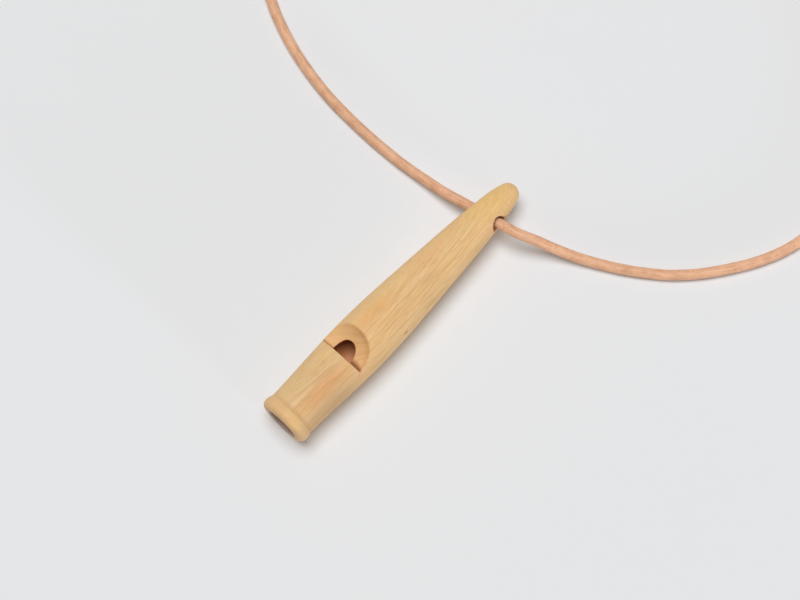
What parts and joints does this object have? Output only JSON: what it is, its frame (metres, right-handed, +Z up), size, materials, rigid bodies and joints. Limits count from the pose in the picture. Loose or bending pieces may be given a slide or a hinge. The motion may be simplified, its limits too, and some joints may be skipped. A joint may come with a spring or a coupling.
{
  "type": "bird call",
  "caption": "Turned wooden end-blown bird call whistle with a fipple plug, a scooped sound window and a round leather neck cord knotted through an eye near its tip.",
  "frame": {"origin": "on the table, under the middle of the whistle's length, as the whistle lies on its belly", "axes": "+X along the whistle from its mouth to its tip, +Z up, +Y to the left of +X; the whistle lies rolled, so its sound window faces 15 degrees to the left of +Z"},
  "size_m": [0.1986, 0.1795, 0.0159],
  "materials": {
    "turned_wood": "fine sanded and oiled, satin",
    "plug_wood": "raw, matt",
    "leather": "natural vegetable tanned, satin"
  },
  "bodies": {
    "cord": {"cord_left_stretch": "leather", "cord_coil": "leather", "cord_link_stretch": "leather", "cord_right_stretch": "leather", "cord_knot": "leather", "coil_tie": "leather"},
    "whistle": {"whistle_body": "turned_wood", "fipple_plug": "plug_wood"}
  },
  "joints": [
    {"name": "cord_swivel", "type": "hinge", "parent": "cord", "child": "whistle", "pos_m": [0.0344, 0, 0.00797], "axis": [0, 0.9659, -0.2588], "continuous": true}
  ]
}
